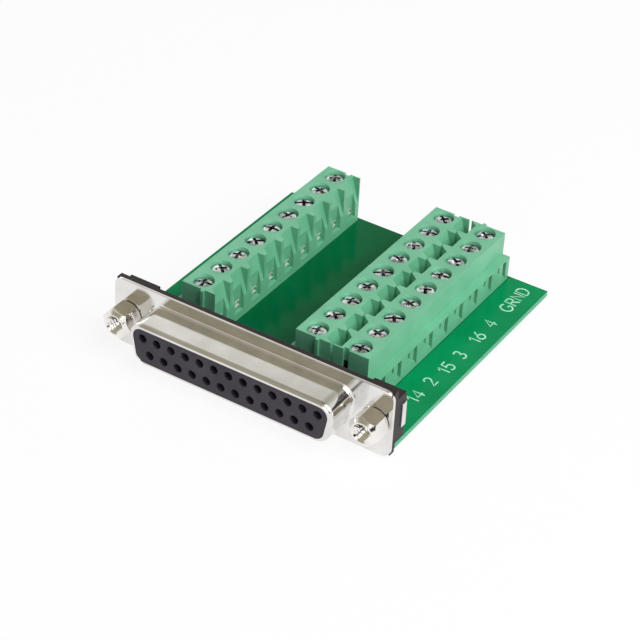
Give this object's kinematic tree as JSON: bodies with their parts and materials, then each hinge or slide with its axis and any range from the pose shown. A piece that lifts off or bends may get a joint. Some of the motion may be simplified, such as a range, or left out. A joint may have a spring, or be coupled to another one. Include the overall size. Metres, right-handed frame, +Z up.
{
  "type": "d-sub terminal block adapter",
  "caption": "Right-angle D-sub socket on a green circuit board with rows of screw terminals that bring out its contacts.",
  "frame": {"origin": "middle of the footprint at the solder tails' tips", "axes": "X along the socket, +Y back from its mating face, +Z up from the board"},
  "size_m": [0.053, 0.0584, 0.0129],
  "materials": {
    "green_solder_mask": "glossy solder mask over glass epoxy",
    "plated_steel": "bright tin plate",
    "dark_moulding": "satin",
    "black_moulding": "satin",
    "green_moulding": "satin polyamide",
    "contact_metal": "tinned",
    "bright_nickel": "bright nickel plate",
    "zinc_steel": "zinc plate"
  },
  "bodies": {
    "adapter": {"circuit_board": "green_solder_mask", "front_shell": "plated_steel", "contact_insulator": "dark_moulding", "rear_housing": "black_moulding", "upper_contacts": "contact_metal", "lower_contacts": "contact_metal", "jack_socket_left": "bright_nickel", "jack_socket_right": "bright_nickel", "threaded_insert_left": "contact_metal", "threaded_insert_right": "contact_metal", "board_lock_left": "zinc_steel", "board_lock_right": "zinc_steel", "terminal_housing_left": "green_moulding", "clamp_cages_left": "zinc_steel", "current_bars_left": "contact_metal", "terminal_housing_middle": "green_moulding", "clamp_cages_middle": "zinc_steel", "current_bars_middle": "contact_metal", "terminal_housing_right": "green_moulding", "clamp_cages_right": "zinc_steel", "current_bars_right": "contact_metal"},
    "screw_left_1": {"clamp_screw_left_1": "bright_nickel"},
    "screw_left_2": {"clamp_screw_left_2": "bright_nickel"},
    "screw_left_3": {"clamp_screw_left_3": "bright_nickel"},
    "screw_left_4": {"clamp_screw_left_4": "bright_nickel"},
    "screw_left_5": {"clamp_screw_left_5": "bright_nickel"},
    "screw_left_6": {"clamp_screw_left_6": "bright_nickel"},
    "screw_left_7": {"clamp_screw_left_7": "bright_nickel"},
    "screw_left_8": {"clamp_screw_left_8": "bright_nickel"},
    "screw_left_9": {"clamp_screw_left_9": "bright_nickel"},
    "screw_middle_1": {"clamp_screw_middle_1": "bright_nickel"},
    "screw_middle_2": {"clamp_screw_middle_2": "bright_nickel"},
    "screw_middle_3": {"clamp_screw_middle_3": "bright_nickel"},
    "screw_middle_4": {"clamp_screw_middle_4": "bright_nickel"},
    "screw_middle_5": {"clamp_screw_middle_5": "bright_nickel"},
    "screw_middle_6": {"clamp_screw_middle_6": "bright_nickel"},
    "screw_middle_7": {"clamp_screw_middle_7": "bright_nickel"},
    "screw_middle_8": {"clamp_screw_middle_8": "bright_nickel"},
    "screw_middle_9": {"clamp_screw_middle_9": "bright_nickel"},
    "screw_right_1": {"clamp_screw_right_1": "bright_nickel"},
    "screw_right_2": {"clamp_screw_right_2": "bright_nickel"},
    "screw_right_3": {"clamp_screw_right_3": "bright_nickel"},
    "screw_right_4": {"clamp_screw_right_4": "bright_nickel"},
    "screw_right_5": {"clamp_screw_right_5": "bright_nickel"},
    "screw_right_6": {"clamp_screw_right_6": "bright_nickel"},
    "screw_right_7": {"clamp_screw_right_7": "bright_nickel"},
    "screw_right_8": {"clamp_screw_right_8": "bright_nickel"},
    "screw_right_9": {"clamp_screw_right_9": "bright_nickel"}
  },
  "joints": [
    {"name": "clamp_screw_left_1_turn", "type": "hinge", "parent": "adapter", "child": "screw_left_1", "pos_m": [-0.0157, -0.01365, 0.0106], "axis": [0, 0, -1], "range_deg": [0, 1512]},
    {"name": "clamp_screw_left_2_turn", "type": "hinge", "parent": "adapter", "child": "screw_left_2", "pos_m": [-0.0157, -0.00865, 0.0106], "axis": [0, 0, -1], "range_deg": [0, 1512]},
    {"name": "clamp_screw_left_3_turn", "type": "hinge", "parent": "adapter", "child": "screw_left_3", "pos_m": [-0.0157, -0.00365, 0.0106], "axis": [0, 0, -1], "range_deg": [0, 1512]},
    {"name": "clamp_screw_left_4_turn", "type": "hinge", "parent": "adapter", "child": "screw_left_4", "pos_m": [-0.0157, 0.00135, 0.0106], "axis": [0, 0, -1], "range_deg": [0, 1512]},
    {"name": "clamp_screw_left_5_turn", "type": "hinge", "parent": "adapter", "child": "screw_left_5", "pos_m": [-0.0157, 0.00635, 0.0106], "axis": [0, 0, -1], "range_deg": [0, 1512]},
    {"name": "clamp_screw_left_6_turn", "type": "hinge", "parent": "adapter", "child": "screw_left_6", "pos_m": [-0.0157, 0.01135, 0.0106], "axis": [0, 0, -1], "range_deg": [0, 1512]},
    {"name": "clamp_screw_left_7_turn", "type": "hinge", "parent": "adapter", "child": "screw_left_7", "pos_m": [-0.0157, 0.01635, 0.0106], "axis": [0, 0, -1], "range_deg": [0, 1512]},
    {"name": "clamp_screw_left_8_turn", "type": "hinge", "parent": "adapter", "child": "screw_left_8", "pos_m": [-0.0157, 0.02135, 0.0106], "axis": [0, 0, -1], "range_deg": [0, 1512]},
    {"name": "clamp_screw_left_9_turn", "type": "hinge", "parent": "adapter", "child": "screw_left_9", "pos_m": [-0.0157, 0.02635, 0.0106], "axis": [0, 0, -1], "range_deg": [0, 1512]},
    {"name": "clamp_screw_middle_1_turn", "type": "hinge", "parent": "adapter", "child": "screw_middle_1", "pos_m": [0.0065, -0.01365, 0.0106], "axis": [0, 0, -1], "range_deg": [0, 1512]},
    {"name": "clamp_screw_middle_2_turn", "type": "hinge", "parent": "adapter", "child": "screw_middle_2", "pos_m": [0.0065, -0.00865, 0.0106], "axis": [0, 0, -1], "range_deg": [0, 1512]},
    {"name": "clamp_screw_middle_3_turn", "type": "hinge", "parent": "adapter", "child": "screw_middle_3", "pos_m": [0.0065, -0.00365, 0.0106], "axis": [0, 0, -1], "range_deg": [0, 1512]},
    {"name": "clamp_screw_middle_4_turn", "type": "hinge", "parent": "adapter", "child": "screw_middle_4", "pos_m": [0.0065, 0.00135, 0.0106], "axis": [0, 0, -1], "range_deg": [0, 1512]},
    {"name": "clamp_screw_middle_5_turn", "type": "hinge", "parent": "adapter", "child": "screw_middle_5", "pos_m": [0.0065, 0.00635, 0.0106], "axis": [0, 0, -1], "range_deg": [0, 1512]},
    {"name": "clamp_screw_middle_6_turn", "type": "hinge", "parent": "adapter", "child": "screw_middle_6", "pos_m": [0.0065, 0.01135, 0.0106], "axis": [0, 0, -1], "range_deg": [0, 1512]},
    {"name": "clamp_screw_middle_7_turn", "type": "hinge", "parent": "adapter", "child": "screw_middle_7", "pos_m": [0.0065, 0.01635, 0.0106], "axis": [0, 0, -1], "range_deg": [0, 1512]},
    {"name": "clamp_screw_middle_8_turn", "type": "hinge", "parent": "adapter", "child": "screw_middle_8", "pos_m": [0.0065, 0.02135, 0.0106], "axis": [0, 0, -1], "range_deg": [0, 1512]},
    {"name": "clamp_screw_middle_9_turn", "type": "hinge", "parent": "adapter", "child": "screw_middle_9", "pos_m": [0.0065, 0.02635, 0.0106], "axis": [0, 0, -1], "range_deg": [0, 1512]},
    {"name": "clamp_screw_right_1_turn", "type": "hinge", "parent": "adapter", "child": "screw_right_1", "pos_m": [0.01465, -0.01365, 0.0106], "axis": [0, 0, -1], "range_deg": [0, 1512]},
    {"name": "clamp_screw_right_2_turn", "type": "hinge", "parent": "adapter", "child": "screw_right_2", "pos_m": [0.01465, -0.00865, 0.0106], "axis": [0, 0, -1], "range_deg": [0, 1512]},
    {"name": "clamp_screw_right_3_turn", "type": "hinge", "parent": "adapter", "child": "screw_right_3", "pos_m": [0.01465, -0.00365, 0.0106], "axis": [0, 0, -1], "range_deg": [0, 1512]},
    {"name": "clamp_screw_right_4_turn", "type": "hinge", "parent": "adapter", "child": "screw_right_4", "pos_m": [0.01465, 0.00135, 0.0106], "axis": [0, 0, -1], "range_deg": [0, 1512]},
    {"name": "clamp_screw_right_5_turn", "type": "hinge", "parent": "adapter", "child": "screw_right_5", "pos_m": [0.01465, 0.00635, 0.0106], "axis": [0, 0, -1], "range_deg": [0, 1512]},
    {"name": "clamp_screw_right_6_turn", "type": "hinge", "parent": "adapter", "child": "screw_right_6", "pos_m": [0.01465, 0.01135, 0.0106], "axis": [0, 0, -1], "range_deg": [0, 1512]},
    {"name": "clamp_screw_right_7_turn", "type": "hinge", "parent": "adapter", "child": "screw_right_7", "pos_m": [0.01465, 0.01635, 0.0106], "axis": [0, 0, -1], "range_deg": [0, 1512]},
    {"name": "clamp_screw_right_8_turn", "type": "hinge", "parent": "adapter", "child": "screw_right_8", "pos_m": [0.01465, 0.02135, 0.0106], "axis": [0, 0, -1], "range_deg": [0, 1512]},
    {"name": "clamp_screw_right_9_turn", "type": "hinge", "parent": "adapter", "child": "screw_right_9", "pos_m": [0.01465, 0.02635, 0.0106], "axis": [0, 0, -1], "range_deg": [0, 1512]}
  ]
}
